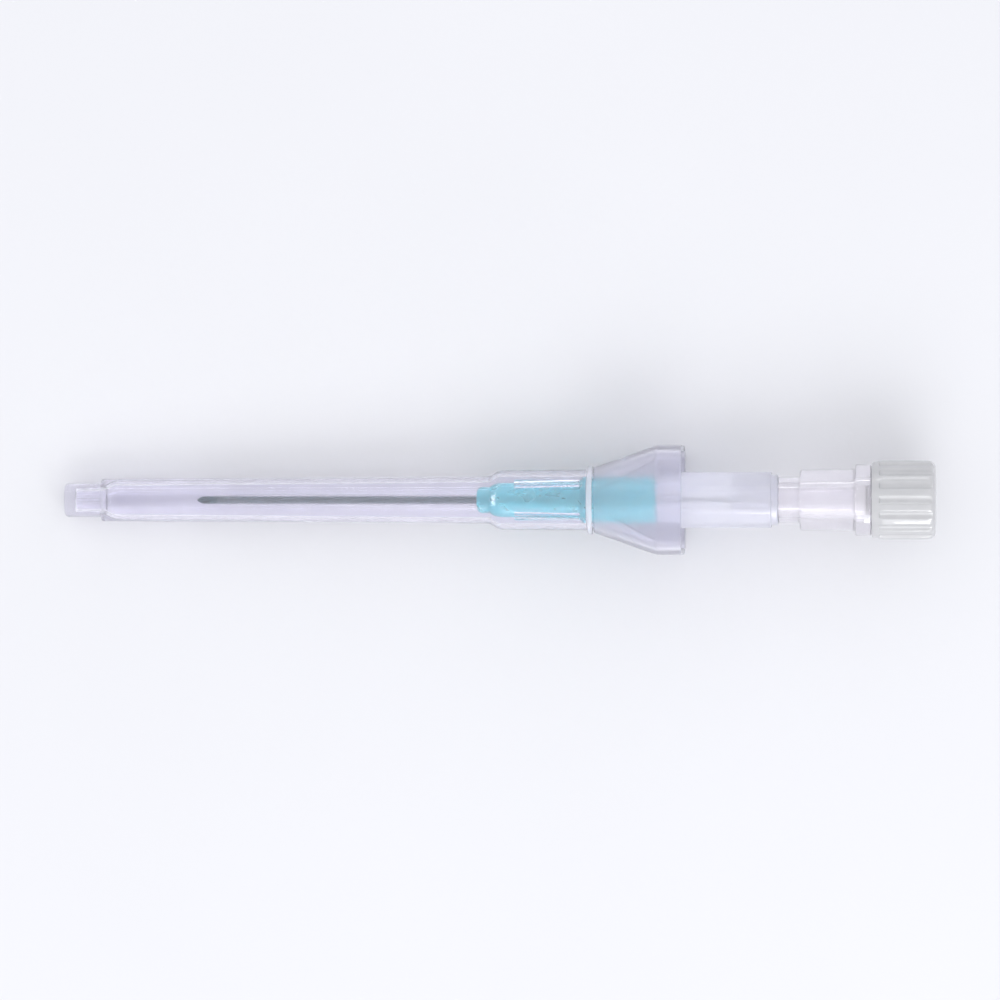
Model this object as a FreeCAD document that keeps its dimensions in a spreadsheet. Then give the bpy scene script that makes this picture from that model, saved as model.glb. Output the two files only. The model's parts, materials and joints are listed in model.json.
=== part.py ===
import FreeCAD, Part
import math
import os
import Sketcher

# Pen-type intravenous cannula in its needle cover, in millimetres.
# Every sub-part is a turned or extruded body on one common axis. Stations are measured along that axis
# from the closed tip of the cover. At the end the whole set is laid down as it rests on a table.

doc = FreeCAD.newDocument("IVCannula")
dims = doc.addObject("Spreadsheet::Sheet", "dims")

# Driving dimensions

SIZES = {
    # needle cover
    "cover_tip_length": 4.5,
    "cover_tip_radius": 2.08,
    "cover_tip_round": 0.5,
    "cover_tip_wall": 1.4,
    "cover_tip_bore": 1.15,
    "tube_front_radius": 2.6,
    "tube_front_round": 0.3,
    "tube_rear_radius": 2.89,
    "cover_tube_length": 47.9,
    "tube_front_bore": 1.8,
    "tube_rear_bore": 2.2,
    "bore_lead_length": 1.6,
    "shoulder_length": 1.2,
    "socket_front_radius": 3.66,
    "socket_rear_radius": 3.73,
    "cover_socket_length": 10.8,
    "ring_length": 0.7,
    "ring_radius": 4.2,
    "flare_length": 8.0,
    "flare_front_half": 3.95,
    "flare_front_corner": 3.3,
    "flare_wall": 0.75,
    "rim_length": 3.05,
    "rim_half": 6.7,
    "rim_corner": 1.9,
    "tip_rib_count": 4,
    "tip_rib_width": 0.35,
    "tip_rib_height": 0.55,
    "grip_rib_count": 4,
    "grip_rib_width": 0.5,
    "grip_rib_length": 8.0,
    "grip_rib_clearance": 0.06,
    "rib_root": 0.2,
    # catheter hub
    "hub_pilot_length": 1.1,
    "hub_pilot_clearance": 0.05,
    "hub_front_length": 13.2,
    "hub_rear_length": 8.9,
    "hub_nose_radius": 1.62,
    "hub_nose_length": 1.6,
    "hub_nose_round": 0.75,
    "hub_cone_length": 0.9,
    "hub_cone_radius": 2.08,
    "hub_body_radius": 2.38,
    "hub_step_length": 0.45,
    "hub_rear_radius": 2.86,
    "hub_rear_round": 0.25,
    "luer_mouth_radius": 2.145,
    "luer_slope": 0.03,
    "hub_socket_depth": 8.2,
    "hub_floor_length": 0.9,
    "hub_throat_radius": 1.12,
    "nest_clearance": 0.02,
    # catheter tube
    "catheter_length": 32.0,
    "tube_outer_radius": 0.65,
    "tube_bore_radius": 0.5,
    "tube_tip_radius": 0.52,
    "tube_tip_bore": 0.475,
    "tube_tip_length": 2.5,
    "tube_anchor_length": 8.2,
    "tube_flare_length": 1.1,
    # eyelet that wedges the tube into its hub
    "eyelet_length": 4.7,
    "eyelet_radius": 0.72,
    "eyelet_nose_radius": 0.62,
    "eyelet_nose_length": 0.7,
    "eyelet_bore": 0.53,
    "eyelet_mouth_radius": 0.86,
    "eyelet_lip_radius": 1.02,
    "eyelet_lip_length": 0.75,
    # introducer needle
    "needle_radius": 0.455,
    "needle_bore": 0.34,
    "needle_length": 69.85,
    "needle_exposed": 2.65,
    "bevel_angle": 23.0,
    "facet_angle": 33.0,
    "facet_turn": 38.0,
    "facet_reach": 0.55,
    # needle hub
    "hub_seat_gap": 0.05,
    "luer_clearance": 0.025,
    "nose_length": 7.4,
    "nose_round": 0.2,
    "collar_length": 2.35,
    "collar_radius": 2.86,
    "collar_neck_length": 0.6,
    "grip_length": 11.1,
    "grip_half": 3.42,
    "grip_edge_round": 0.45,
    "grip_end_length": 0.85,
    "grip_end_radius": 3.12,
    "rear_socket_depth": 5.6,
    "rear_socket_radius": 2.27,
    "needle_bond_length": 16.5,
    "bond_clearance": 0.02,
    # flash chamber
    "spigot_length": 4.9,
    "spigot_round": 0.2,
    "chamber_gap": 0.05,
    "neck_length": 2.6,
    "neck_radius": 2.86,
    "barrel_length": 6.8,
    "barrel_front_radius": 3.75,
    "barrel_rear_radius": 3.85,
    "barrel_round": 0.35,
    "flange_length": 1.95,
    "flange_radius": 4.38,
    "flange_round": 0.2,
    "stem_length": 5.3,
    "stem_radius": 3.2,
    "chamber_front_bore": 1.45,
    "chamber_rear_bore": 1.62,
    "filter_length": 1.3,
    "filter_radius": 1.92,
    "filter_lead": 0.1,
    "lug_length": 1.1,
    "lug_width": 2.6,
    "lug_radius": 3.85,
    # luer plug
    "plug_gap": 0.1,
    "plug_length": 7.8,
    "plug_front_radius": 4.6,
    "plug_radius": 4.86,
    "plug_chamfer_length": 1.3,
    "plug_round": 1.0,
    "plug_end_wall": 1.5,
    "plug_skirt_bore": 3.97,
    "plug_nose_clearance": 0.15,
    "flute_count": 16,
    "flute_radius": 0.62,
    "flute_depth": 0.3,
    "flute_start": 0.9,
}

# Stations along the axis, from the cover's tip, and radii that follow from the driving dimensions

DERIVED = {
    "tube_start": "cover_tip_length",
    "shoulder_start": "tube_start + cover_tube_length",
    "socket_start": "shoulder_start + shoulder_length",
    "ring_start": "socket_start + cover_socket_length",
    "flare_start": "ring_start + ring_length",
    "rim_start": "flare_start + flare_length",
    "hub_step": "flare_start - hub_pilot_length",
    "hub_nose": "hub_step - hub_front_length",
    "hub_end": "hub_step + hub_rear_length",
    "hub_floor": "hub_end - hub_socket_depth",
    "hub_throat": "hub_floor - hub_floor_length",
    "tube_tip": "hub_nose - catheter_length",
    "tube_end": "hub_nose + tube_anchor_length + eyelet_length - eyelet_lip_length",
    "eyelet_start": "hub_nose + tube_anchor_length",
    "eyelet_end": "eyelet_start + eyelet_length",
    "needle_tip": "tube_tip - needle_exposed",
    "needle_end": "needle_tip + needle_length",
    "collar_start": "hub_end + hub_seat_gap",
    "nose_tip": "collar_start - nose_length",
    "collar_end": "collar_start + collar_length",
    "grip_start": "collar_end + collar_neck_length",
    "grip_stop": "grip_start + grip_length",
    "grip_end": "grip_stop + grip_end_length",
    "bond_end": "nose_tip + needle_bond_length",
    "socket_floor": "grip_end - rear_socket_depth",
    "neck_start": "grip_end + chamber_gap",
    "spigot_tip": "neck_start - spigot_length",
    "barrel_start": "neck_start + neck_length",
    "flange_start": "barrel_start + barrel_length",
    "flange_end": "flange_start + flange_length",
    "stem_end": "flange_end + stem_length",
    "filter_end": "flange_start + filter_length",
    "plug_start": "flange_end + plug_gap",
    "plug_end": "plug_start + plug_length",
    "plug_floor": "plug_end - plug_end_wall",
    "plug_nose_tip": "filter_end + plug_nose_clearance",
    "pilot_bore": "hub_rear_radius + hub_pilot_clearance",
    "seat_bore": "eyelet_radius + nest_clearance",
    "seat_radius": "seat_bore + tube_outer_radius - tube_bore_radius",
    "male_luer_radius": "luer_mouth_radius - luer_clearance",
    "nose_tip_radius": "male_luer_radius - luer_slope * (nose_length - hub_seat_gap)",
    "spigot_radius": "rear_socket_radius - luer_clearance",
    "plug_nose_radius": "male_luer_radius - luer_slope * (stem_end - plug_nose_tip)",
    "plug_root_radius": "male_luer_radius + luer_slope * (plug_floor - stem_end)",
}


def fill_sheet():
    row = 1
    for name, value in list(SIZES.items()) + [(n, "=" + f) for n, f in DERIVED.items()]:
        dims.set("A%d" % row, name)
        dims.set("B%d" % row, str(value))
        dims.setAlias("B%d" % row, name)
        row += 1
    doc.recompute()


def value(expression):
    """The number that an expression over the sheet's names has now."""
    return float(dims.evalExpression(str(expression)))


def bound(expression):
    """The same expression as another object of the document writes it."""
    words = []
    word = ""
    for letter in str(expression) + " ":
        if letter.isalnum() or letter == "_":
            word += letter
            continue
        if word in SIZES or word in DERIVED:
            word = "dims." + word
        words.append(word + letter)
        word = ""
    return "".join(words).strip()


# Sketch helpers


def new_body(name):
    body = doc.addObject("PartDesign::Body", name)
    body.Label = name
    return body


def origin_part(body, role):
    return [feature for feature in body.Origin.OriginFeatures if feature.Role == role][0]


def new_sketch(body, name, plane, offset=None):
    """A sketch on one of the body's own planes; an offset moves it along the plane's normal."""
    sketch = body.newObject("Sketcher::SketchObject", name)
    sketch.AttachmentSupport = [(origin_part(body, plane), "")]
    sketch.MapMode = "FlatFace"
    if offset:
        sketch.setExpression("AttachmentOffset.Base.z", bound(offset))
    return sketch


def fix_point(sketch, geometry, point, across, up):
    """Dimensions one point of the sketch from the sketch's origin, by two expressions."""
    for kind, expression, axis in (("DistanceX", across, -2), ("DistanceY", up, -1)):
        size = value(expression)
        if abs(size) < 1e-9:
            sketch.addConstraint(Sketcher.Constraint("PointOnObject", geometry, point, axis))
            continue
        if size > 0:
            index = sketch.addConstraint(Sketcher.Constraint(kind, -1, 1, geometry, point, size))
            sketch.setExpression("Constraints[%d]" % index, bound(expression))
        else:
            index = sketch.addConstraint(Sketcher.Constraint(kind, geometry, point, -1, 1, -size))
            sketch.setExpression("Constraints[%d]" % index, bound("-(%s)" % expression))


def outline(sketch, points):
    """A closed outline of straight lines through points given as pairs of expressions."""
    count = len(points)
    places = [FreeCAD.Vector(value(across), value(up), 0) for across, up in points]
    for i in range(count):
        sketch.addGeometry(Part.LineSegment(places[i], places[(i + 1) % count]), False)
    for i in range(count):
        sketch.addConstraint(Sketcher.Constraint("Coincident", i, 2, (i + 1) % count, 1))
    for i, (across, up) in enumerate(points):
        fix_point(sketch, i, 1, across, up)


def circle(sketch, across, up, radius):
    centre = FreeCAD.Vector(value(across), value(up), 0)
    sketch.addGeometry(Part.Circle(centre, FreeCAD.Vector(0, 0, 1), value(radius)), False)
    fix_point(sketch, 0, 3, across, up)
    index = sketch.addConstraint(Sketcher.Constraint("Radius", 0, value(radius)))
    sketch.setExpression("Constraints[%d]" % index, bound(radius))


def rounded_square(sketch, half, corner):
    """Four sides and four corner arcs round the sketch's origin."""
    h = value(half)
    c = value(corner)
    flat = h - c
    quarter = math.pi / 2
    arc_centres = [(flat, flat), (-flat, flat), (-flat, -flat), (flat, -flat)]
    for i, (x, y) in enumerate(arc_centres):
        ring = Part.Circle(FreeCAD.Vector(x, y, 0), FreeCAD.Vector(0, 0, 1), c)
        sketch.addGeometry(Part.ArcOfCircle(ring, i * quarter, (i + 1) * quarter), False)
    for i in range(4):
        turn = FreeCAD.Rotation(FreeCAD.Vector(0, 0, 1), 90 * i)
        start = turn.multVec(FreeCAD.Vector(flat, h, 0))
        end = turn.multVec(FreeCAD.Vector(-flat, h, 0))
        sketch.addGeometry(Part.LineSegment(start, end), False)
    for i in range(4):
        sketch.addConstraint(Sketcher.Constraint("Tangent", i, 2, 4 + i, 1))
        sketch.addConstraint(Sketcher.Constraint("Tangent", 4 + i, 2, (i + 1) % 4, 1))
    place = "(%s) - (%s)" % (half, corner)
    signs = [("", ""), ("-", ""), ("-", "-"), ("", "-")]
    for i, (sx, sy) in enumerate(signs):
        fix_point(sketch, i, 3, "%s(%s)" % (sx, place), "%s(%s)" % (sy, place))
    index = sketch.addConstraint(Sketcher.Constraint("Radius", 0, c))
    sketch.setExpression("Constraints[%d]" % index, bound(corner))


# Feature helpers


def turned(body, name, points, cut=False):
    """A full turn of an outline of (station, radius) points about the common axis."""
    sketch = new_sketch(body, name + "_profile", "XY_Plane")
    outline(sketch, points)
    feature = body.newObject("PartDesign::Groove" if cut else "PartDesign::Revolution", name)
    feature.Profile = sketch
    feature.ReferenceAxis = (sketch, ["H_Axis"])
    feature.Angle = 360.0
    doc.recompute()
    return feature


def extruded(body, name, sketch, length, cut=False, both_ways=False, backwards=False):
    feature = body.newObject("PartDesign::Pocket" if cut else "PartDesign::Pad", name)
    feature.Profile = sketch
    feature.Midplane = both_ways
    feature.Reversed = backwards
    feature.setExpression("Length", bound(length))
    doc.recompute()
    return feature


def patterned(body, name, feature, count):
    """Copies of a feature, evenly round the common axis."""
    pattern = body.newObject("PartDesign::PolarPattern", name)
    pattern.Originals = [feature]
    pattern.Axis = (origin_part(body, "X_Axis"), [""])
    pattern.Angle = 360.0
    pattern.setExpression("Occurrences", bound(count))
    body.Tip = pattern
    doc.recompute()
    return pattern


def rounded(body, name, edges, radius):
    feature = body.newObject("PartDesign::Fillet", name)
    feature.Base = (body.Group[-2], edges)
    feature.setExpression("Radius", bound(radius))
    doc.recompute()
    return feature


def circle_edges(body, places):
    """Names of the full circles of the body's last feature at each (station, radius)."""
    wanted = [(value(station), value(radius)) for station, radius in places]
    names = []
    for i, edge in enumerate(body.Tip.Shape.Edges):
        if not isinstance(edge.Curve, Part.Circle):
            continue
        for station, radius in wanted:
            if abs(edge.Curve.Center.x - station) < 1e-4 and abs(edge.Curve.Radius - radius) < 1e-4:
                names.append("Edge%d" % (i + 1))
    return names


# Needle cover


def make_needle_cover():
    body = new_body("needle_cover")
    turned(body, "cover_outside", [
        ("0", "0"),
        ("0", "cover_tip_radius"),
        ("tube_start", "cover_tip_radius"),
        ("tube_start", "tube_front_radius"),
        ("shoulder_start", "tube_rear_radius"),
        ("socket_start", "socket_front_radius"),
        ("ring_start", "socket_rear_radius"),
        ("ring_start", "ring_radius"),
        ("flare_start", "ring_radius"),
        ("flare_start", "0"),
    ])
    rounded(body, "tip_round", circle_edges(body, [("0", "cover_tip_radius")]), "cover_tip_round")
    rounded(body, "tube_round", circle_edges(body, [("tube_start", "tube_front_radius")]), "tube_front_round")

    # The flare goes from nearly round at the ring to a rounded square at the rim.
    near = new_sketch(body, "flare_near", "YZ_Plane", "flare_start")
    rounded_square(near, "flare_front_half", "flare_front_corner")
    far = new_sketch(body, "flare_far", "YZ_Plane", "rim_start")
    rounded_square(far, "rim_half", "rim_corner")
    flare = body.newObject("PartDesign::AdditiveLoft", "flare")
    flare.Profile = near
    flare.Sections = [far]
    flare.Ruled = True
    doc.recompute()
    rim = new_sketch(body, "rim_profile", "YZ_Plane", "rim_start")
    rounded_square(rim, "rim_half", "rim_corner")
    extruded(body, "rim", rim, "rim_length")

    # Inside, the same flare one wall smaller, then the bores for hub, catheter and needle.
    near_inner = new_sketch(body, "flare_near_inner", "YZ_Plane", "flare_start")
    rounded_square(near_inner, "flare_front_half - flare_wall", "flare_front_corner - flare_wall")
    far_inner = new_sketch(body, "flare_far_inner", "YZ_Plane", "rim_start")
    rounded_square(far_inner, "rim_half - flare_wall", "rim_corner - flare_wall")
    hollow = body.newObject("PartDesign::SubtractiveLoft", "flare_hollow")
    hollow.Profile = near_inner
    hollow.Sections = [far_inner]
    hollow.Ruled = True
    doc.recompute()
    rim_inner = new_sketch(body, "rim_inner", "YZ_Plane", "rim_start")
    rounded_square(rim_inner, "rim_half - flare_wall", "rim_corner - flare_wall")
    extruded(body, "rim_hollow", rim_inner, "rim_length", cut=True, backwards=True)
    turned(body, "cover_bore", [
        ("cover_tip_wall", "0"),
        ("cover_tip_wall", "cover_tip_bore"),
        ("tube_start", "cover_tip_bore"),
        ("tube_start + bore_lead_length", "tube_front_bore"),
        ("shoulder_start", "tube_rear_bore"),
        ("socket_start", "pilot_bore"),
        ("flare_start", "pilot_bore"),
        ("flare_start", "0"),
    ], cut=True)

    # Short ribs inside the thick tip.
    tip_rib = new_sketch(body, "tip_rib_profile", "XY_Plane")
    outline(tip_rib, [
        ("cover_tip_wall - rib_root", "cover_tip_bore - tip_rib_height"),
        ("cover_tip_wall - rib_root", "cover_tip_bore + rib_root"),
        ("tube_start", "cover_tip_bore + rib_root"),
        ("tube_start", "cover_tip_bore - tip_rib_height"),
    ])
    first = extruded(body, "tip_rib", tip_rib, "tip_rib_width", both_ways=True)
    patterned(body, "tip_ribs", first, "tip_rib_count")

    # Long ribs that grip the catheter hub.
    hub_run = "(hub_front_length - hub_cone_length - hub_nose_length - hub_step_length)"
    hub_rise = "(hub_body_radius - hub_cone_radius)"
    rib_back = "hub_step - hub_step_length"
    rib_top = "hub_body_radius + grip_rib_clearance"
    rib_low = "hub_body_radius + grip_rib_clearance - grip_rib_length * %s / %s" % (hub_rise, hub_run)
    grip_rib = new_sketch(body, "grip_rib_profile", "XY_Plane")
    outline(grip_rib, [
        (rib_back + " - grip_rib_length", rib_low),
        (rib_back + " - grip_rib_length", "pilot_bore + rib_root"),
        (rib_back, "pilot_bore + rib_root"),
        (rib_back, rib_top),
    ])
    first = extruded(body, "grip_rib", grip_rib, "grip_rib_width", both_ways=True)
    patterned(body, "grip_ribs", first, "grip_rib_count")
    return body


# Catheter: tube, hub and the eyelet between them


def make_catheter_hub():
    body = new_body("catheter_hub")
    cone_start = "hub_nose + hub_nose_length"
    turned(body, "hub_outside", [
        ("hub_nose", "0"),
        ("hub_nose", "hub_nose_radius"),
        (cone_start, "hub_nose_radius"),
        (cone_start + " + hub_cone_length", "hub_cone_radius"),
        ("hub_step - hub_step_length", "hub_body_radius"),
        ("hub_step", "hub_rear_radius"),
        ("hub_end", "hub_rear_radius"),
        ("hub_end", "0"),
    ])
    rounded(body, "nose_round", circle_edges(body, [("hub_nose", "hub_nose_radius")]), "hub_nose_round")
    rounded(body, "mouth_round", circle_edges(body, [("hub_end", "hub_rear_radius")]), "hub_rear_round")
    turned(body, "hub_bore", [
        ("hub_nose", "0"),
        ("hub_nose", "tube_outer_radius + nest_clearance"),
        ("eyelet_start - tube_flare_length", "tube_outer_radius + nest_clearance"),
        ("eyelet_start + eyelet_nose_length", "seat_radius + nest_clearance"),
        ("tube_end", "seat_radius + nest_clearance"),
        ("hub_throat", "hub_throat_radius"),
        ("hub_floor", "luer_mouth_radius - luer_slope * hub_socket_depth"),
        ("hub_end", "luer_mouth_radius"),
        ("hub_end", "0"),
    ], cut=True)
    return body


def make_catheter_tube():
    body = new_body("catheter_tube")
    turned(body, "tube", [
        ("tube_tip", "tube_tip_bore"),
        ("tube_tip", "tube_tip_radius"),
        ("tube_tip + tube_tip_length", "tube_outer_radius"),
        ("eyelet_start - tube_flare_length", "tube_outer_radius"),
        ("eyelet_start + eyelet_nose_length", "seat_radius"),
        ("tube_end", "seat_radius"),
        ("tube_end", "seat_bore"),
        ("eyelet_start + eyelet_nose_length", "seat_bore"),
        ("eyelet_start - tube_flare_length", "tube_bore_radius"),
        ("tube_tip + tube_tip_length", "tube_bore_radius"),
    ])
    return body


def make_tube_eyelet():
    body = new_body("tube_eyelet")
    turned(body, "eyelet", [
        ("eyelet_start", "eyelet_bore"),
        ("eyelet_start", "eyelet_nose_radius"),
        ("eyelet_start + eyelet_nose_length", "eyelet_radius"),
        ("eyelet_end - eyelet_lip_length", "eyelet_radius"),
        ("eyelet_end", "eyelet_lip_radius"),
        ("eyelet_end", "eyelet_mouth_radius"),
        ("eyelet_end - eyelet_lip_length", "eyelet_bore"),
    ])
    return body


# Introducer needle: a tube with one long bevel and two side facets


def make_introducer_needle():
    body = new_body("introducer_needle")
    turned(body, "needle", [
        ("needle_tip", "needle_bore"),
        ("needle_tip", "needle_radius"),
        ("needle_end", "needle_radius"),
        ("needle_end", "needle_bore"),
    ])
    reach = "2 * needle_radius"
    bevel = new_sketch(body, "bevel_profile", "XZ_Plane")
    outline(bevel, [
        ("needle_tip", "-needle_radius"),
        ("needle_tip + %s / tan(bevel_angle * 1deg)" % reach, "needle_radius"),
        ("needle_tip + %s / tan(bevel_angle * 1deg)" % reach, reach),
        ("needle_tip - needle_radius", reach),
        ("needle_tip - needle_radius", "-needle_radius"),
    ])
    extruded(body, "bevel", bevel, "4 * needle_radius", cut=True, both_ways=True)
    for side, sign in (("left", 1), ("right", -1)):
        facet = new_sketch(body, side + "_facet_profile", "XZ_Plane")
        turn = FreeCAD.Rotation(FreeCAD.Vector(1, 0, 0), sign * value("facet_turn"))
        facet.AttachmentOffset = FreeCAD.Placement(FreeCAD.Vector(0, 0, 0), turn)
        facet_end = "needle_tip + facet_reach / tan(facet_angle * 1deg)"
        outline(facet, [
            ("needle_tip", "-needle_radius"),
            (facet_end, "facet_reach - needle_radius"),
            (facet_end, "needle_radius"),
            ("needle_tip - needle_radius", "needle_radius"),
            ("needle_tip - needle_radius", "-needle_radius"),
        ])
        extruded(body, side + "_facet", facet, "4 * needle_radius", cut=True, both_ways=True)
    return body


# Needle hub: male luer nose, collar, eight-sided grip and rear socket


def octagon(sketch, half):
    near = "(%s)" % half
    far = "(%s) * tan(22.5 * 1deg)" % half
    outline(sketch, [
        (near, far),
        (far, near),
        ("-" + far, near),
        ("-" + near, far),
        ("-" + near, "-" + far),
        ("-" + far, "-" + near),
        (far, "-" + near),
        (near, "-" + far),
    ])


def make_needle_hub():
    body = new_body("needle_hub")
    turned(body, "hub_core", [
        ("nose_tip", "0"),
        ("nose_tip", "nose_tip_radius"),
        ("collar_start", "male_luer_radius"),
        ("collar_start", "collar_radius"),
        ("collar_end", "collar_radius"),
        ("grip_start", "grip_end_radius"),
        ("grip_end", "grip_end_radius"),
        ("grip_end", "0"),
    ])
    rounded(body, "nose_edge", circle_edges(body, [("nose_tip", "nose_tip_radius")]), "nose_round")
    grip = new_sketch(body, "grip_profile", "YZ_Plane", "grip_start")
    octagon(grip, "grip_half")
    extruded(body, "grip", grip, "grip_length")
    corner = value("grip_half") / math.cos(math.radians(22.5))
    long_edges = []
    for i, edge in enumerate(body.Tip.Shape.Edges):
        middle = edge.valueAt((edge.FirstParameter + edge.LastParameter) / 2)
        if abs(edge.Length - value("grip_length")) < 1e-4 and abs(math.hypot(middle.y, middle.z) - corner) < 1e-3:
            long_edges.append("Edge%d" % (i + 1))
    rounded(body, "grip_edges", long_edges, "grip_edge_round")
    turned(body, "hub_bore", [
        ("nose_tip", "0"),
        ("nose_tip", "needle_radius + bond_clearance"),
        ("bond_end", "needle_radius + bond_clearance"),
        ("socket_floor", "rear_socket_radius - luer_slope * rear_socket_depth"),
        ("grip_end", "rear_socket_radius"),
        ("grip_end", "0"),
    ], cut=True)
    return body


# Flash chamber, with the vent filter in its rear bore


def make_flash_chamber():
    body = new_body("flash_chamber")
    spigot_tip_radius = "spigot_radius - luer_slope * spigot_length"
    turned(body, "chamber_outside", [
        ("spigot_tip", "0"),
        ("spigot_tip", spigot_tip_radius),
        ("neck_start", "spigot_radius"),
        ("neck_start", "neck_radius"),
        ("barrel_start", "neck_radius"),
        ("barrel_start", "barrel_front_radius"),
        ("flange_start", "barrel_rear_radius"),
        ("flange_start", "flange_radius"),
        ("flange_end", "flange_radius"),
        ("flange_end", "stem_radius"),
        ("stem_end", "stem_radius"),
        ("stem_end", "0"),
    ])
    rounded(body, "spigot_edge", circle_edges(body, [("spigot_tip", spigot_tip_radius)]), "spigot_round")
    rounded(body, "barrel_edge", circle_edges(body, [("barrel_start", "barrel_front_radius")]), "barrel_round")
    flange_edges = circle_edges(body, [("flange_start", "flange_radius"), ("flange_end", "flange_radius")])
    rounded(body, "flange_edges", flange_edges, "flange_round")
    lug = new_sketch(body, "lug_profile", "YZ_Plane", "stem_end - lug_length")
    outline(lug, [
        ("lug_width / 2", "0"),
        ("lug_width / 2", "sqrt(pow(lug_radius; 2) - pow(lug_width / 2; 2))"),
        ("-lug_width / 2", "sqrt(pow(lug_radius; 2) - pow(lug_width / 2; 2))"),
        ("-lug_width / 2", "0"),
    ])
    first = extruded(body, "lug", lug, "lug_length")
    patterned(body, "lugs", first, "2")
    turned(body, "chamber_bore", [
        ("spigot_tip", "0"),
        ("spigot_tip", "chamber_front_bore"),
        ("flange_start", "chamber_rear_bore"),
        ("flange_start", "filter_radius + nest_clearance"),
        ("filter_end", "filter_radius + nest_clearance"),
        ("filter_end", "luer_mouth_radius - luer_slope * (stem_end - filter_end)"),
        ("stem_end", "luer_mouth_radius"),
        ("stem_end", "0"),
    ], cut=True)
    return body


def make_vent_filter():
    body = new_body("vent_filter")
    turned(body, "filter", [
        ("flange_start", "0"),
        ("flange_start", "filter_radius"),
        ("filter_end - filter_lead", "filter_radius"),
        ("filter_end", "filter_radius - filter_lead"),
        ("filter_end", "0"),
    ])
    return body


# Luer plug: ribbed cap with a male cone inside its skirt


def make_luer_plug():
    body = new_body("luer_plug")
    turned(body, "plug", [
        ("plug_nose_tip", "0"),
        ("plug_nose_tip", "plug_nose_radius"),
        ("plug_floor", "plug_root_radius"),
        ("plug_floor", "plug_skirt_bore"),
        ("plug_start", "plug_skirt_bore"),
        ("plug_start", "plug_front_radius"),
        ("plug_start + plug_chamfer_length", "plug_radius"),
        ("plug_end", "plug_radius"),
        ("plug_end", "0"),
    ])
    rounded(body, "plug_edge", circle_edges(body, [("plug_end", "plug_radius")]), "plug_round")
    flute = new_sketch(body, "flute_profile", "YZ_Plane", "plug_start + flute_start")
    circle(flute, "0", "plug_radius - flute_depth + flute_radius", "flute_radius")
    first = extruded(body, "flute", flute, "plug_length", cut=True, backwards=True)
    patterned(body, "flutes", first, "flute_count")
    return body


def lay_down(bodies):
    """Leans the set on the front end of the cover's tube and the lower edge of the flare."""
    edge = value("tube_front_round")
    reach = value("rim_start - tube_start") - edge
    rise = value("rim_half - tube_front_radius") + edge
    tilt = math.atan2(rise, reach) - math.asin(edge / math.hypot(reach, rise))
    low = value("rim_start") * math.sin(tilt) - value("rim_half") * math.cos(tilt)
    tip_round = value("cover_tip_round")
    tip_flat = value("cover_tip_radius") - tip_round
    left = tip_round * math.cos(tilt) - tip_flat * math.sin(tilt) - tip_round
    plug_round = value("plug_round")
    plug_flat = value("plug_radius") - plug_round
    right = (value("plug_end") - plug_round) * math.cos(tilt) + plug_flat * math.sin(tilt) + plug_round
    turn = FreeCAD.Rotation(FreeCAD.Vector(0, 1, 0), -math.degrees(tilt))
    base = FreeCAD.Vector(-(left + right) / 2, 0, -low)
    for body in bodies:
        body.Placement = FreeCAD.Placement(base, turn)
    print("tilt %.4f degrees, base %.4f 0 %.4f" % (math.degrees(tilt), base.x, base.z))


def write_parts(bodies):
    for thing in doc.Objects:
        if "Invalid" in thing.State or "Error" in thing.State:
            raise RuntimeError("%s is %s" % (thing.Name, thing.State))
    for body in bodies:
        if body.Shape.isNull() or not body.Shape.isValid() or len(body.Shape.Solids) != 1:
            raise RuntimeError("%s has no single valid solid" % body.Label)
    os.makedirs("parts", exist_ok=True)
    for body in bodies:
        body.Shape.exportStep("parts/%s.step" % body.Label)
        box = body.Shape.BoundBox
        print("%-18s volume %8.2f  x %.2f..%.2f  z %.2f..%.2f" % (
            body.Label, body.Shape.Volume, box.XMin, box.XMax, box.ZMin, box.ZMax))


fill_sheet()
pieces = [
    make_needle_cover(),
    make_catheter_hub(),
    make_catheter_tube(),
    make_tube_eyelet(),
    make_introducer_needle(),
    make_needle_hub(),
    make_flash_chamber(),
    make_vent_filter(),
    make_luer_plug(),
]
lay_down(pieces)
doc.recompute()
write_parts(pieces)
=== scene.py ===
# %% [markdown]
# # A pen-type IV cannula
#
# The object is a needle inside a catheter inside a clear cover, lying on a table. Nearly every piece is
# clear plastic, so this lesson is mostly about two things: closed shells with rounded edges, which bend
# light as real mouldings do, and plastics that differ a little in haze, tint and gloss.
#
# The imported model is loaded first. Its box is kept, because no new piece may change the object's size.

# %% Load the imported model
import json
import math

import bmesh
import bpy
from mathutils import Matrix, Vector


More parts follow.
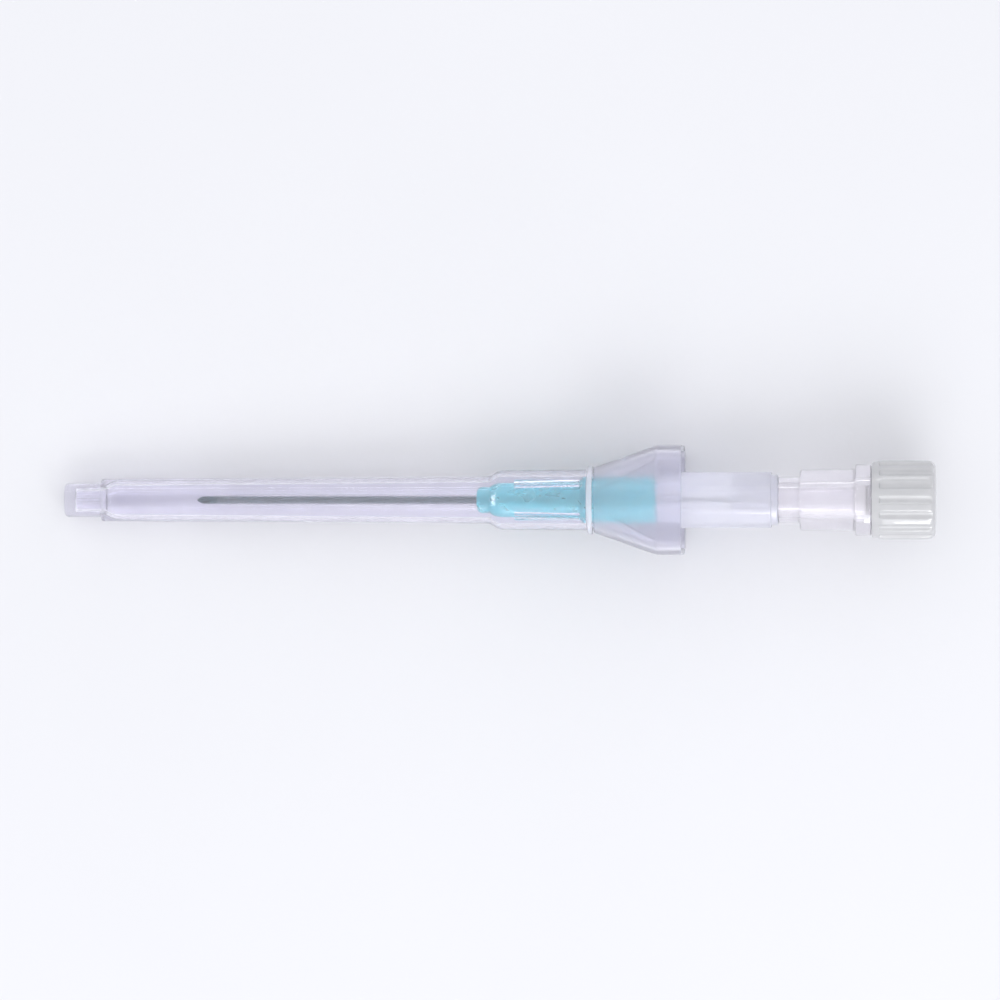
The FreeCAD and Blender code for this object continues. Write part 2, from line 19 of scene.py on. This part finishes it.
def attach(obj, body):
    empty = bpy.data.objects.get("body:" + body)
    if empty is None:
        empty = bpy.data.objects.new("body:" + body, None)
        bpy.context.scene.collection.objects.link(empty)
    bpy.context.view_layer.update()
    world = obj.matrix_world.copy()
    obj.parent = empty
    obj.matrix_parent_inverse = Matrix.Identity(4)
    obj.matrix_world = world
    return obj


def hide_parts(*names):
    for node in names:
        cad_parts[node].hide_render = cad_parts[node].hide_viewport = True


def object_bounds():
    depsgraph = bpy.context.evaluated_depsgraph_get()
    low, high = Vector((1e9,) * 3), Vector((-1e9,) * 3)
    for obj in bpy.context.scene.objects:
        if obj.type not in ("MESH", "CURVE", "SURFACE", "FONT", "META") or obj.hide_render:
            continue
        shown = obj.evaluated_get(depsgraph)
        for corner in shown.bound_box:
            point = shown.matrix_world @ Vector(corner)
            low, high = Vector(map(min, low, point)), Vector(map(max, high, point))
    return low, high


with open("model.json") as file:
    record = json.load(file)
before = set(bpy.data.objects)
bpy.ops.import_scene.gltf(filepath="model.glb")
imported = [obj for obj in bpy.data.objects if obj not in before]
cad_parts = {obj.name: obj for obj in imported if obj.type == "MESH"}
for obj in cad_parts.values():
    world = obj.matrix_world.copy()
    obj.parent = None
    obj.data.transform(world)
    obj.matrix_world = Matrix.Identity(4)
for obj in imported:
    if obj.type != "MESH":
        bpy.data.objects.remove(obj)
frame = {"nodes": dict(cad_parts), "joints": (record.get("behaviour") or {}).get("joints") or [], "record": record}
packed_box = [list(corner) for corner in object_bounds()]
print("packed box in mm:", [[round(c * 1000, 2) for c in corner] for corner in packed_box])

# %% [markdown]
# The cannula rests on the front of its cover's tube and on the edge of the flare, so its own axis rises a
# little. Every piece is easiest to model lying straight along X, in millimetres, counted from the closed tip
# of the cover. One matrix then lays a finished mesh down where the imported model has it: the joint gives the
# slope, and the flat end of the plug gives a point on the axis.

# %% The cannula's own axis
LENGTH = 107.15
axis = Vector(frame["joints"][0]["axis"]).normalized()
tilt = math.atan2(axis.z, axis.x)
mounts = {mount["name"]: mount for mount in frame["record"]["mounts"]}
tip = Vector(mounts["plug_end"]["pos_m"]) - axis * LENGTH / 1000
lay_down = Matrix.Translation(tip) @ Matrix.Rotation(-tilt, 4, "Y") @ Matrix.Scale(0.001, 4)
print("slope %.2f degrees, tip at %s mm" % (math.degrees(tilt), [round(c * 1000, 2) for c in tip]))

# %% [markdown]
# Moulded round pieces are turned: half a section is drawn as a chain of edges, its corners are rounded while
# it is still a chain, and then it is spun round the axis. Rounding the chain costs one bevel on a few points,
# where rounding the finished solid would need hundreds of edges to meet cleanly.

# %% Turning a section
STEPS = 128
FINE_STEPS = 64  # for the thin tubes


def chain(bm, corners, closed=False):
    """Edges through (station, radius, rounding) corners, in the plane of the axis."""
    points = [bm.verts.new((corner[0], corner[1], 0)) for corner in corners]
    for first, second in zip(points, points[1:]):
        bm.edges.new((first, second))
    if closed:
        bm.edges.new((points[-1], points[0]))
    for point, corner in zip(points, corners):
        if len(corner) > 2:
            bmesh.ops.bevel(bm, geom=[point], offset=corner[2], offset_type="OFFSET", segments=5,
                            profile=0.5, affect="VERTICES", material=-1)


def spin_round(bm, steps=STEPS):
    """Turns the chains into walls and welds their ends to the axis."""
    bmesh.ops.spin(bm, geom=bm.verts[:] + bm.edges[:], cent=(0, 0, 0), axis=(1, 0, 0),
                   angle=2 * math.pi, steps=steps, use_merge=True)
    bmesh.ops.remove_doubles(bm, verts=bm.verts[:], dist=1e-4)


def angle_of(point):
    return math.atan2(point.z, point.y)


def radius_of(point):
    return math.hypot(point.y, point.z)


# %% [markdown]
# A finished mesh gets smooth faces, sharp marks only where two faces meet at a real edge, and its place.
# The object itself stays at the origin, so that patterns on object coordinates stay put when it moves.

# %% Finishing a piece
SHARP = math.radians(32)
pieces = {}


def finish_piece(bm, name, body):
    """Smooths and places a mesh, hangs it on its body and puts it in its node's stead."""
    bmesh.ops.recalc_face_normals(bm, faces=bm.faces[:])
    for face in bm.faces:
        face.smooth = True
    for edge in bm.edges:
        edge.smooth = len(edge.link_faces) == 2 and edge.calc_face_angle(0) < SHARP
    open_edges = sum(1 for edge in bm.edges if len(edge.link_faces) != 2)
    bmesh.ops.transform(bm, matrix=lay_down, verts=bm.verts[:])
    triangles = sum(len(face.verts) - 2 for face in bm.faces)
    mesh = bpy.data.meshes.new(name)
    bm.to_mesh(mesh)
    bm.free()
    piece = bpy.data.objects.new(name, mesh)
    bpy.context.scene.collection.objects.link(piece)
    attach(piece, body)
    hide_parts(name.removesuffix("_finished"))
    pieces[name.removesuffix("_finished")] = piece
    print("%-26s %6d triangles, %d open edges" % (name, triangles, open_edges))


# %% [markdown]
# The flare and the grip are not round, so their sections are rings of their own: a square or an eight-sided
# ring with rounded corners, with as many points as a spun circle. Rings with equal counts bridge into clean
# strips of four-sided faces, flat on the flats and curved only at the corners.

# %% Rings that are not round
ON_RING = 1e-3
ON_WALL = 0.05


def sided_ring(bm, station, sides, half, corner):
    """A ring with flats at distance half from the axis; returns its edges."""
    inside_turn = math.pi / sides
    made = bmesh.ops.create_circle(bm, segments=sides, radius=half / math.cos(inside_turn),
                                   matrix=Matrix.Rotation(inside_turn, 4, "Z"))
    cut = corner * math.tan(inside_turn)
    before = set(bm.verts) - set(made["verts"])
    bmesh.ops.bevel(bm, geom=made["verts"], offset=cut, offset_type="OFFSET",
                    segments=STEPS // sides - 1, profile=0.5, affect="VERTICES", material=-1)
    points = [vert for vert in bm.verts if vert not in before]
    upright = Matrix.Translation((station, 0, 0)) @ Matrix.Rotation(math.pi / 2, 4, "Y")
    bmesh.ops.transform(bm, matrix=upright, verts=points)
    return list({edge for vert in points for edge in vert.link_edges})


def open_ring(bm, station, radius):
    """The edges of the open circle that a spun chain leaves at this place."""
    return [edge for edge in bm.edges if len(edge.link_faces) == 1 and all(
        abs(vert.co.x - station) < ON_RING and abs(radius_of(vert.co) - radius) < ON_RING for vert in edge.verts)]


def bridge(bm, rings):
    """Joins each ring to the next with a strip of faces."""
    for first, second in zip(rings, rings[1:]):
        bmesh.ops.bridge_loops(bm, edges=first + second)


def soften(bm, low, high, width, least=40, segments=3):
    """Rounds the edges between two stations that are sharper than an angle."""
    bmesh.ops.recalc_face_normals(bm, faces=bm.faces[:])
    edges = [edge for edge in bm.edges if len(edge.link_faces) == 2
             and all(low <= vert.co.x <= high for vert in edge.verts)
             and math.degrees(edge.calc_face_angle(0)) > least]
    bmesh.ops.bevel(bm, geom=edges, offset=width, offset_type="OFFSET", segments=segments,
                    profile=0.5, affect="EDGES", material=-1)


def raise_ribs(bm, low, high, radius, width, tops, count, turn=0.0):
    """Pushes strips of a turned wall in or out, as ribs along the axis; tops are their radii at both ends."""
    for number in range(count):
        middle = turn + 2 * math.pi * number / count
        strip = []
        for face in bm.faces:
            centre = face.calc_center_median()
            away = math.remainder(angle_of(centre) - middle, 2 * math.pi) * radius
            if low < centre.x < high and abs(radius_of(centre) - radius) < ON_WALL and abs(away) < width / 2:
                strip.append(face)
        grown = bmesh.ops.extrude_face_region(bm, geom=strip)
        bmesh.ops.delete(bm, geom=strip, context="FACES")
        for vert in (item for item in grown["geom"] if isinstance(item, bmesh.types.BMVert)):
            top = tops[0] + (tops[1] - tops[0]) * (vert.co.x - low) / (high - low)
            scale = top / radius_of(vert.co)
            vert.co.y *= scale
            vert.co.z *= scale


# %% [markdown]
# ## Needle cover
# The real cover is one thin moulding. Its thick tip has short ribs inside, its tube widens slowly so that it
# leaves the mould, and its mouth flares from round to a rounded square that stops the cannula rolling. Outer
# and inner walls are spun together, and four pairs of rings carry both walls through the flare.

# %% Needle cover
TUBE_START = 4.5
SOCKET_START = 53.6
FLARE_START = 65.1
RIM_START = 73.1
RIM_END = 76.15
PILOT_BORE = 2.91
FLARE_WALL = 0.75
FLARE_HALF, FLARE_CORNER = 6.7, 1.9
ROOT_RADIUS = 4.06
ROOT_HALF, ROOT_CORNER = 3.95, 3.3
bm = bmesh.new()
chain(bm, [
    (0, 0), (0, 2.08, 0.5), (TUBE_START, 2.08, 0.12), (TUBE_START, 2.6, 0.3),
    (52.4, 2.89, 0.5), (SOCKET_START, 3.66, 0.5), (64.4, 3.73, 0.1), (64.4, 4.2, 0.3),
    (FLARE_START, 4.2, 0.13), (FLARE_START, ROOT_RADIUS),
])
chain(bm, [
    (1.4, 0), (1.4, 1.15, 0.2), (TUBE_START, 1.15, 0.3), (6.1, 1.8, 0.3), (52.4, 2.2, 0.3),
    (SOCKET_START, PILOT_BORE, 0.3), (55.55, PILOT_BORE), (63.55, PILOT_BORE), (FLARE_START, PILOT_BORE),
])
spin_round(bm)
bridge(bm, [
    open_ring(bm, FLARE_START, ROOT_RADIUS),
    sided_ring(bm, FLARE_START, 4, ROOT_HALF, ROOT_CORNER),
    sided_ring(bm, RIM_START, 4, FLARE_HALF, FLARE_CORNER),
    sided_ring(bm, RIM_END, 4, FLARE_HALF, FLARE_CORNER),
    sided_ring(bm, RIM_END, 4, FLARE_HALF - FLARE_WALL, FLARE_CORNER - FLARE_WALL),
    sided_ring(bm, RIM_START, 4, FLARE_HALF - FLARE_WALL, FLARE_CORNER - FLARE_WALL),
    sided_ring(bm, FLARE_START, 4, ROOT_HALF - FLARE_WALL, ROOT_CORNER - FLARE_WALL),
    open_ring(bm, FLARE_START, PILOT_BORE),
])
soften(bm, RIM_END - 0.01, RIM_END + 0.01, 0.18)
soften(bm, RIM_START - 0.01, RIM_START + 0.01, 0.3, least=12)
raise_ribs(bm, 1.6, TUBE_START, 1.15, 0.36, (0.6, 0.6), 4)
raise_ribs(bm, 55.5, 63.6, PILOT_BORE, 0.5, (2.21, 2.44), 4, turn=math.pi / 4)
finish_piece(bm, "needle_cover_finished", "cover")

# %% [markdown]
# ## Catheter hub and tube
# The hub is teal so that the gauge can be read at a glance. It is clear, so its inside matters as much as its
# outside: the luer socket, the throat, and the narrow nest in which the metal eyelet wedges the tube. The
# tube thins to a fine edge at its tip and lies over the needle with hardly any gap.

# %% Catheter hub
bm = bmesh.new()
chain(bm, [
    (50.8, 0.67), (50.8, 1.62, 0.75), (52.4, 1.62, 0.15), (53.3, 2.08, 0.5), (63.55, 2.38, 0.12),
    (64.0, 2.86, 0.15), (72.9, 2.86, 0.25), (72.9, 2.145, 0.12), (64.7, 1.899, 0.2), (63.8, 1.12, 0.1),
    (62.95, 0.91), (59.7, 0.91, 0.1), (57.9, 0.67, 0.1),
], closed=True)
spin_round(bm)
finish_piece(bm, "catheter_hub_finished", "catheter")

# %% Catheter tube
bm = bmesh.new()
chain(bm, [
    (18.8, 0.475), (18.8, 0.52, 0.02), (21.3, 0.65, 0.5), (57.9, 0.65, 0.1), (59.7, 0.89, 0.1),
    (62.95, 0.89), (62.95, 0.74), (59.7, 0.74), (57.9, 0.5), (21.3, 0.5),
], closed=True)
spin_round(bm, FINE_STEPS)
finish_piece(bm, "catheter_tube_finished", "catheter")

# %% [markdown]
# ## Introducer needle
# A steel tube, ground with one long bevel and then two side facets that make the point. The grinding is done
# here as it is in the factory: three flat cuts through a plain tube, each closed where the tube wall shows.

# %% Introducer needle
NEEDLE_RADIUS = 0.455
NEEDLE_BORE = 0.34
NEEDLE_TIP, NEEDLE_END = 16.15, 86.0
FACETS = ((23, 0), (33, 38), (33, -38))  # slope to the axis and turn round it, in degrees
bm = bmesh.new()
chain(bm, [
    (NEEDLE_TIP, NEEDLE_BORE), (NEEDLE_TIP, NEEDLE_RADIUS), (NEEDLE_END, NEEDLE_RADIUS), (NEEDLE_END, NEEDLE_BORE),
], closed=True)
spin_round(bm, FINE_STEPS)
for slope, turn in FACETS:
    facing = Matrix.Rotation(math.radians(turn), 4, "X")
    normal = facing @ Vector((-math.sin(math.radians(slope)), 0, math.cos(math.radians(slope))))
    start = facing @ Vector((NEEDLE_TIP, 0, -NEEDLE_RADIUS))
    cut = bmesh.ops.bisect_plane(bm, geom=bm.verts[:] + bm.edges[:] + bm.faces[:], dist=1e-6,
                                 plane_co=start, plane_no=normal, clear_outer=True)
    rim = [item for item in cut["geom_cut"] if isinstance(item, bmesh.types.BMEdge)]
    bmesh.ops.triangle_fill(bm, edges=rim, use_beauty=True)
finish_piece(bm, "introducer_needle_finished", "needle")

# %% [markdown]
# ## Needle hub
# A clear moulding that fingers hold. Its luer nose fills the catheter hub, and its grip has eight flats, whose
# rounded corners show as thin bright lines. The chain runs from the front of the grip over the nose, through
# the bore and round the rear face, and two eight-sided rings close the gap.

# %% Needle hub
GRIP_START = 75.9
GRIP_STOP = 87.0
GRIP_END_RADIUS = 3.12
GRIP_HALF, GRIP_CORNER = 3.42, 1.2
bm = bmesh.new()
chain(bm, [
    (GRIP_START, GRIP_END_RADIUS), (75.3, 2.86, 0.1), (72.95, 2.86, 0.2), (72.95, 2.12, 0.1),
    (65.55, 1.8995, 0.2), (65.55, 0.475, 0.05), (82.05, 0.475, 0.3), (82.25, 2.102, 0.2), (87.85, 2.27, 0.1),
    (87.85, GRIP_END_RADIUS, 0.25), (GRIP_STOP, GRIP_END_RADIUS),
])
spin_round(bm)
bridge(bm, [
    open_ring(bm, GRIP_START, GRIP_END_RADIUS),
    sided_ring(bm, GRIP_START, 8, GRIP_HALF, GRIP_CORNER),
    sided_ring(bm, GRIP_STOP, 8, GRIP_HALF, GRIP_CORNER),
    open_ring(bm, GRIP_STOP, GRIP_END_RADIUS),
])
soften(bm, GRIP_START - 0.01, GRIP_START + 0.01, 0.1, least=50)
soften(bm, GRIP_STOP - 0.01, GRIP_STOP + 0.01, 0.12, least=50)
finish_piece(bm, "needle_hub_finished", "needle")

# %% [markdown]
# ## Flash chamber
# Blood that enters the needle shows in this clear barrel. It plugs into the needle hub with a spigot and
# carries the luer plug on a stem with two small lugs.

# %% Flash chamber
bm = bmesh.new()
chain(bm, [
    (83.0, 1.45, 0.1), (83.0, 2.098, 0.2), (87.9, 2.245, 0.05), (87.9, 2.86, 0.15), (90.5, 2.86, 0.12),
    (90.5, 3.75, 0.35), (97.3, 3.85, 0.1), (97.3, 4.38, 0.2), (99.25, 4.38, 0.2), (99.25, 3.2, 0.1),
    (103.45, 3.2), (104.55, 3.2, 0.15), (104.55, 2.145, 0.1), (98.6, 1.967), (98.6, 1.94), (97.3, 1.94),
    (97.3, 1.62),
], closed=True)
spin_round(bm)
raise_ribs(bm, 103.4, 104.45, 3.2, 2.6, (3.85, 3.85), 2, turn=math.pi / 2)
finish_piece(bm, "flash_chamber_finished", "needle")

# %% [markdown]
# ## Luer plug
# A milky cap with sixteen shallow flutes for the fingers and a male cone inside. The flutes are cut as a round
# tool would cut them: each point of the skirt is pulled in to the tool's circle wherever that is nearer to the
# axis, so the flutes fade out by themselves over the rounded end.

# %% Luer plug
PLUG_RADIUS = 4.86
FLUTES = 16
FLUTE_RADIUS = 0.62
FLUTE_DEPTH = 0.3
FLUTE_CENTRE = PLUG_RADIUS - FLUTE_DEPTH + FLUTE_RADIUS
FLUTE_START = 100.25


def flute_depth_at(turn):
    """Distance from the axis to the flute's surface at an angle round it, or a large one between flutes."""
    away = math.remainder(turn - math.pi / 2, 2 * math.pi / FLUTES)
    side = FLUTE_CENTRE * math.sin(away)
    if abs(side) >= FLUTE_RADIUS:
        return 2 * PLUG_RADIUS
    return FLUTE_CENTRE * math.cos(away) - math.sqrt(FLUTE_RADIUS ** 2 - side ** 2)


bm = bmesh.new()
chain(bm, [
    (98.75, 0), (98.75, 1.946, 0.15), (105.65, 2.153, 0.15), (105.65, 3.97, 0.15), (99.35, 3.97, 0.1),
    (99.35, 4.6, 0.12), (FLUTE_START, 4.78), (FLUTE_START + 0.1, 4.8), (100.65, PLUG_RADIUS, 0.1),
    (LENGTH, PLUG_RADIUS, 1.0), (LENGTH, 1.3, 0.1), (LENGTH - 0.12, 1.2, 0.05), (LENGTH - 0.12, 0.4, 0.05),
    (LENGTH - 0.04, 0.35, 0.05), (LENGTH - 0.04, 0),
])
spin_round(bm, 16 * FLUTES)
for vert in bm.verts:
    if vert.co.x > FLUTE_START + 0.05 and radius_of(vert.co) > 4.2:
        scale = min(1, flute_depth_at(angle_of(vert.co)) / radius_of(vert.co))
        vert.co.y *= scale
        vert.co.z *= scale
finish_piece(bm, "luer_plug_finished", "plug")

# %% [markdown]
# ## Finishes
# Shader maths reads best as Python, so one small class wraps a socket and turns + - * into Math nodes. Every
# other node comes from one method. A recipe holds a material's nodes, and gives every pattern the same ruler:
# millimetres along the cannula's own axis, through one Mapping node that undoes the slope at which it lies.

# %% Sockets as numbers
class Amount:
    """A socket that can be added, subtracted and multiplied."""

    def __init__(self, recipe, socket):
        self.recipe = recipe
        self.socket = socket

    def _with(self, operation, first, second):
        return self.recipe.add("ShaderNodeMath", {"operation": operation}, {0: first, 1: second})

    def __add__(self, other):
        return self._with("ADD", self, other)

    def __radd__(self, other):
        return self._with("ADD", other, self)

    def __sub__(self, other):
        return self._with("SUBTRACT", self, other)

    def __rsub__(self, other):
        return self._with("SUBTRACT", other, self)

    def __mul__(self, other):
        return self._with("MULTIPLY", self, other)

    def __rmul__(self, other):
        return self._with("MULTIPLY", other, self)


class NodeTree:
    """The nodes of a material or of the sky."""

    def __init__(self, owner):
        owner.use_nodes = True
        self.owner = owner
        self.tree = owner.node_tree
        self.tree.nodes.clear()

    def add(self, kind, settings, inputs, output=0):
        """Makes a node, with settings first and then the values or links of its sockets."""
        made = self.tree.nodes.new(kind)
        for name, setting in settings.items():
            setattr(made, name, setting)
        for name, source in inputs.items():
            if isinstance(source, Amount):
                self.tree.links.new(source.socket, made.inputs[name])
            else:
                made.inputs[name].default_value = source
        return Amount(self, made.outputs[output]) if made.outputs else None


# Colour of the milky shader: haze, and on the cover's ring a painted highlight.
MILK_AND_HIGHLIGHT = (0.91, 0.91, 0.98, 1)


class Recipe(NodeTree):
    """A material, whose patterns are measured in millimetres on the cannula."""

    def __init__(self, name):
        super().__init__(bpy.data.materials.new(name))
        place = self.add("ShaderNodeTexCoord", {}, {}, "Object")
        self.ruler = self.add("ShaderNodeMapping", {"vector_type": "TEXTURE"}, {
            "Vector": place, "Location": tip, "Rotation": (0, -tilt, 0), "Scale": (0.001, 0.001, 0.001)}, "Vector")

    def stretched(self, along, across):
        """The ruler, with its axis and its cross directions scaled apart."""
        return self.add("ShaderNodeVectorMath", {"operation": "MULTIPLY"},
                        {0: self.ruler, 1: (along, across, across)}, "Vector")

    def noise(self, along, across, detail=3.0, roughness=0.5):
        """Cloudy values about 0.5, with sizes of 1/along and 1/across millimetres."""
        return self.add("ShaderNodeTexNoise", {}, {
            "Vector": self.stretched(along, across), "Scale": 1.0, "Detail": detail, "Roughness": roughness}, "Fac")

    def between(self, amount, low, high):
        """0 below low, 1 above high, smooth between."""
        return self.add("ShaderNodeMapRange", {"interpolation_type": "SMOOTHSTEP"}, {
            "Value": amount, "From Min": low, "From Max": high}, "Result")

    def tint(self, amount, first, second):
        """A colour between two, by an amount from 0 to 1."""
        return self.add("ShaderNodeMix", {"data_type": "RGBA"},
                        {"Factor": amount, 6: (*first, 1), 7: (*second, 1)}, 2)

    def stretch(self, low, high, soft=0.15):
        """1 between two stations along the axis, fading over soft millimetres at both ends."""
        station = self.add("ShaderNodeSeparateXYZ", {}, {"Vector": self.ruler}, "X")
        return self.between(station, low - soft, low + soft) * (1 - self.between(station, high - soft, high + soft))

    def seam(self, width):
        """1 on the two mould lines that run along the sides, level with the axis."""
        height = self.add("ShaderNodeSeparateXYZ", {}, {"Vector": self.ruler}, "Z")
        distance = self.add("ShaderNodeMath", {"operation": "ABSOLUTE"}, {0: height})
        return 1 - self.between(distance, 0.3 * width, width)

    def bump(self, amount, millimetres):
        return self.add("ShaderNodeBump", {}, {
            "Height": amount, "Strength": 1.0, "Distance": millimetres / 1000}, "Normal")

    def surface(self, colour, roughness, normal, milk_and_highlight=None, **fixed):
        """Ends the recipe with one shader; fixed holds its constants, and milk_and_highlight tells where it turns
        milky: haze, and on the cover's ring a painted highlight.
        """
        inputs = {"Base Color": colour, "Roughness": roughness, "Normal": normal}
        for name, number in fixed.items():
            inputs[name.replace("_", " ")] = number
        shader = self.add("ShaderNodeBsdfPrincipled", {}, inputs, "BSDF")
        if milk_and_highlight is not None:
            # The milky shader: haze, and where its share is large (the cover's ring) a painted highlight.
            haze_and_highlight_shader = self.add("ShaderNodeBsdfPrincipled", {}, {
                "Base Color": MILK_AND_HIGHLIGHT, "Roughness": 0.4, "Normal": normal}, "BSDF")
            shader = self.add("ShaderNodeMixShader", {}, {0: milk_and_highlight, 1: shader, 2: haze_and_highlight_shader})
        self.add("ShaderNodeOutputMaterial", {}, {"Surface": shader})
        return self.owner


# %% [markdown]
# Clear mouldings are never perfect glass. The melt leaves long faint waves where it flowed, the mould leaves a
# thin line on each side, and handling leaves hair scratches that only change the gloss. Part of the light
# scatters in the plastic, so each finish lets most of it through and keeps a little as haze. The cover's
# mould is polished only along the tube, so its tip, its ring and its flare are duller and a little milky:
# that blurs what lies behind them and lightens their thick edges. On the ring the milky share is much
# larger, and there it is a painted highlight: the bright line that the rounded bead catches.

# %% Clear and milky plastics
def moulded(name, colours, clear, gloss, haze, waves=0.004, seam=0.012, index=1.45, coat=0.6, dull_and_highlit=()):
    """A plastic: clear is the share of light it lets through, gloss its least roughness, haze the clouds'.

    dull_and_highlit lists stretches along the axis as (from, to, added roughness, share of the milky shader, which
    on the cover's ring is a painted highlight).
    """
    recipe = Recipe(name)
    flow = recipe.noise(0.12, 0.55, detail=1)
    cloud = recipe.noise(0.5, 0.9, detail=2)
    fine = recipe.noise(2.0, 26.0, detail=2, roughness=0.6)
    scratch = recipe.between(fine, 0.66, 0.72)
    height = flow * waves + recipe.seam(0.035) * seam + recipe.noise(4, 4, detail=1) * 0.0003
    colour = recipe.tint(recipe.between(cloud, 0.35, 0.65), *colours)
    roughness = gloss + recipe.between(cloud, 0.3, 0.7) * haze + scratch * 0.12
    milk_and_highlight = None
    for low, high, duller, milk_and_highlight_share in dull_and_highlit:
        place = recipe.stretch(low, high)
        roughness = roughness + place * duller
        milk_and_highlight = place * milk_and_highlight_share if milk_and_highlight is None else milk_and_highlight + place * milk_and_highlight_share
    return recipe.surface(colour, roughness, recipe.bump(height, 1.0), milk_and_highlight, Transmission_Weight=clear,
                          IOR=index, Coat_Weight=coat, Coat_Roughness=0.03)


# The cover's ring (64.4 to 65.1 mm) gets a large milky share: a painted highlight, the bright line that the rounded
# bead catches.
clear_cover = moulded("clear cover plastic", ((0.945, 0.935, 1.0), (0.925, 0.915, 0.995)), 0.945, 0.05, 0.04,
                      waves=0.001, seam=0.006, index=1.33, coat=0.15,
                      dull_and_highlit=((-1, 5, 0.15, 0.06), (64.4, 65.1, 0.30, 0.36), (65.3, 77, 0.24, 0.03)))
teal_hub = moulded("teal hub plastic", ((0.27, 0.93, 0.99), (0.22, 0.90, 0.98)), 0.69, 0.26, 0.06, index=1.42)
hub_plastic = moulded("clear hub plastic", ((0.90, 0.90, 0.98), (0.88, 0.88, 0.97)), 0.62, 0.28, 0.06,
                      index=1.36, coat=0.4)
chamber_plastic = moulded("clear chamber plastic", ((0.94, 0.92, 0.97), (0.92, 0.90, 0.96)), 0.78, 0.14, 0.06)
tube_plastic = moulded("catheter tube plastic", ((0.97, 0.97, 0.98), (0.94, 0.95, 0.97)), 0.97, 0.03, 0.03,
                       waves=0.001, seam=0.0, index=1.36, coat=0.0)
# The plug is white plastic; this grey colour is a painted shade, darker all over than the plastic itself.
milky_plastic = moulded("milky plug plastic", ((0.63, 0.63, 0.65), (0.60, 0.60, 0.62)), 0.20, 0.30, 0.05)

# %% [markdown]
# The needle is drawn steel, so its fine lines run along it, and its ground facets are cut across them. The
# vent filter is pressed from plastic grains that show as a dull, pitted white.

# %% Steel and filter
def drawn_steel():
    recipe = Recipe("drawn steel")
    lines = recipe.noise(0.6, 60, detail=3, roughness=0.6)
    patches = recipe.noise(0.8, 2.0, detail=3)
    # This very dark colour is a painted reflection: the steel is made far darker than steel, to stand in for the
    # dark room it mirrors.
    colour = recipe.tint(patches, (0.095, 0.14, 0.155), (0.07, 0.11, 0.125))
    roughness = 0.34 + lines * 0.16
    return recipe.surface(colour, roughness, recipe.bump(lines, 0.004), Metallic=1.0)


def pressed_grains():
    recipe = Recipe("pressed filter grains")
    grain = recipe.add("ShaderNodeTexVoronoi", {}, {"Vector": recipe.stretched(8, 8), "Scale": 1.0}, "Distance")
    colour = recipe.tint(grain, (0.97, 0.97, 0.96), (0.88, 0.88, 0.87))
    return recipe.surface(colour, 0.75 + grain * 0.1, recipe.bump(grain, 0.05))


steel = drawn_steel()
filter_white = pressed_grains()

finishes = {
    "needle_cover": clear_cover,
    "catheter_hub": teal_hub,
    "catheter_tube": tube_plastic,
    "introducer_needle": steel,
    "needle_hub": hub_plastic,
    "flash_chamber": chamber_plastic,
    "luer_plug": milky_plastic,
}
for name, finish in finishes.items():
    pieces[name].data.materials.append(finish)
for name, finish in (("tube_eyelet", steel), ("vent_filter", filter_white)):
    for slot in frame["nodes"][name].material_slots:
        slot.material = finish
print("finishes:", sorted({finish.name for finish in finishes.values()}))

# %% [markdown]
# ## Table, light and camera
# The photograph looks straight down on pale paper, in flat light. A nearly even sky does most of the work, and
# the large main light stands near and a little right, so the shadow falls softly to the far side. Three more
# lamps only make highlights, so the table doesn't show them: a panel low in front of the wide pieces, whose
# near sides are bright, a thin strip beyond the cannula, and a strip past its tip.

# %% Table
bpy.ops.mesh.primitive_plane_add(size=3.0, location=(0, 0, 0))
table = bpy.context.object
table.name = "table"
sheet = Recipe("pale table")
grain = sheet.noise(0.02, 0.02, detail=2)
colour = sheet.tint(grain, (0.77, 0.77, 0.80), (0.74, 0.74, 0.77))
paper = sheet.surface(colour, 0.6, sheet.bump(sheet.noise(1.5, 1.5, detail=2), 0.01), Specular_IOR_Level=0.0)
table.data.materials.append(paper)

# %% Light
def softbox(name, place, size, power):
    """A rectangular lamp that looks at the middle of the table."""
    lamp = bpy.data.lights.new(name, "AREA")
    lamp.shape = "RECTANGLE"
    lamp.size, lamp.size_y = size
    lamp.energy = power
    holder = bpy.data.objects.new(name, lamp)
    bpy.context.scene.collection.objects.link(holder)
    aim = Vector((0, 0, 0)) - Vector(place)
    holder.matrix_world = Matrix.Translation(place) @ aim.to_track_quat("-Z", "Y").to_matrix().to_4x4()
    return holder


softbox("main_light", (0.15, -0.50, 0.45), (0.60, 0.35), 1.5)
near_panel = softbox("near_panel", (0.25, -0.45, 0.18), (0.48, 0.14), 2.5)
far_strip = softbox("far_strip", (0.00, 0.45, 0.20), (0.90, 0.03), 0.7)
end_strip = softbox("end_strip", (-0.45, 0.00, 0.20), (0.40, 0.06), 0.7)
for lamp in (near_panel, far_strip, end_strip):
    lamp.visible_diffuse = False

# %% Sky
sky = NodeTree(bpy.data.worlds.new("studio"))
direction = sky.add("ShaderNodeTexCoord", {}, {}, "Generated")
height = sky.add("ShaderNodeSeparateXYZ", {}, {"Vector": direction}, "Z")
strength = sky.add("ShaderNodeMapRange", {}, {
    "Value": height, "From Min": 0.3, "From Max": 0.9, "To Min": 1.13, "To Max": 1.05}, "Result")
glow = sky.add("ShaderNodeBackground", {}, {"Color": (0.97, 0.98, 1.0, 1), "Strength": strength})
sky.add("ShaderNodeOutputWorld", {}, {"Surface": glow})
bpy.context.scene.world = sky.owner

# %% Camera
DISTANCE = 1.2  # metres
FOCAL_LENGTH = 352  # millimetres
centre = (Vector(packed_box[0]) + Vector(packed_box[1])) / 2
lens = bpy.data.cameras.new("camera")
lens.lens = FOCAL_LENGTH
lens.clip_start = 0.01
camera = bpy.data.objects.new("camera", lens)
bpy.context.scene.collection.objects.link(camera)
camera.matrix_world = Matrix.Translation(centre + Vector((0, 0, DISTANCE)))
bpy.context.scene.camera = camera
bpy.context.scene.view_settings.view_transform = "Standard"
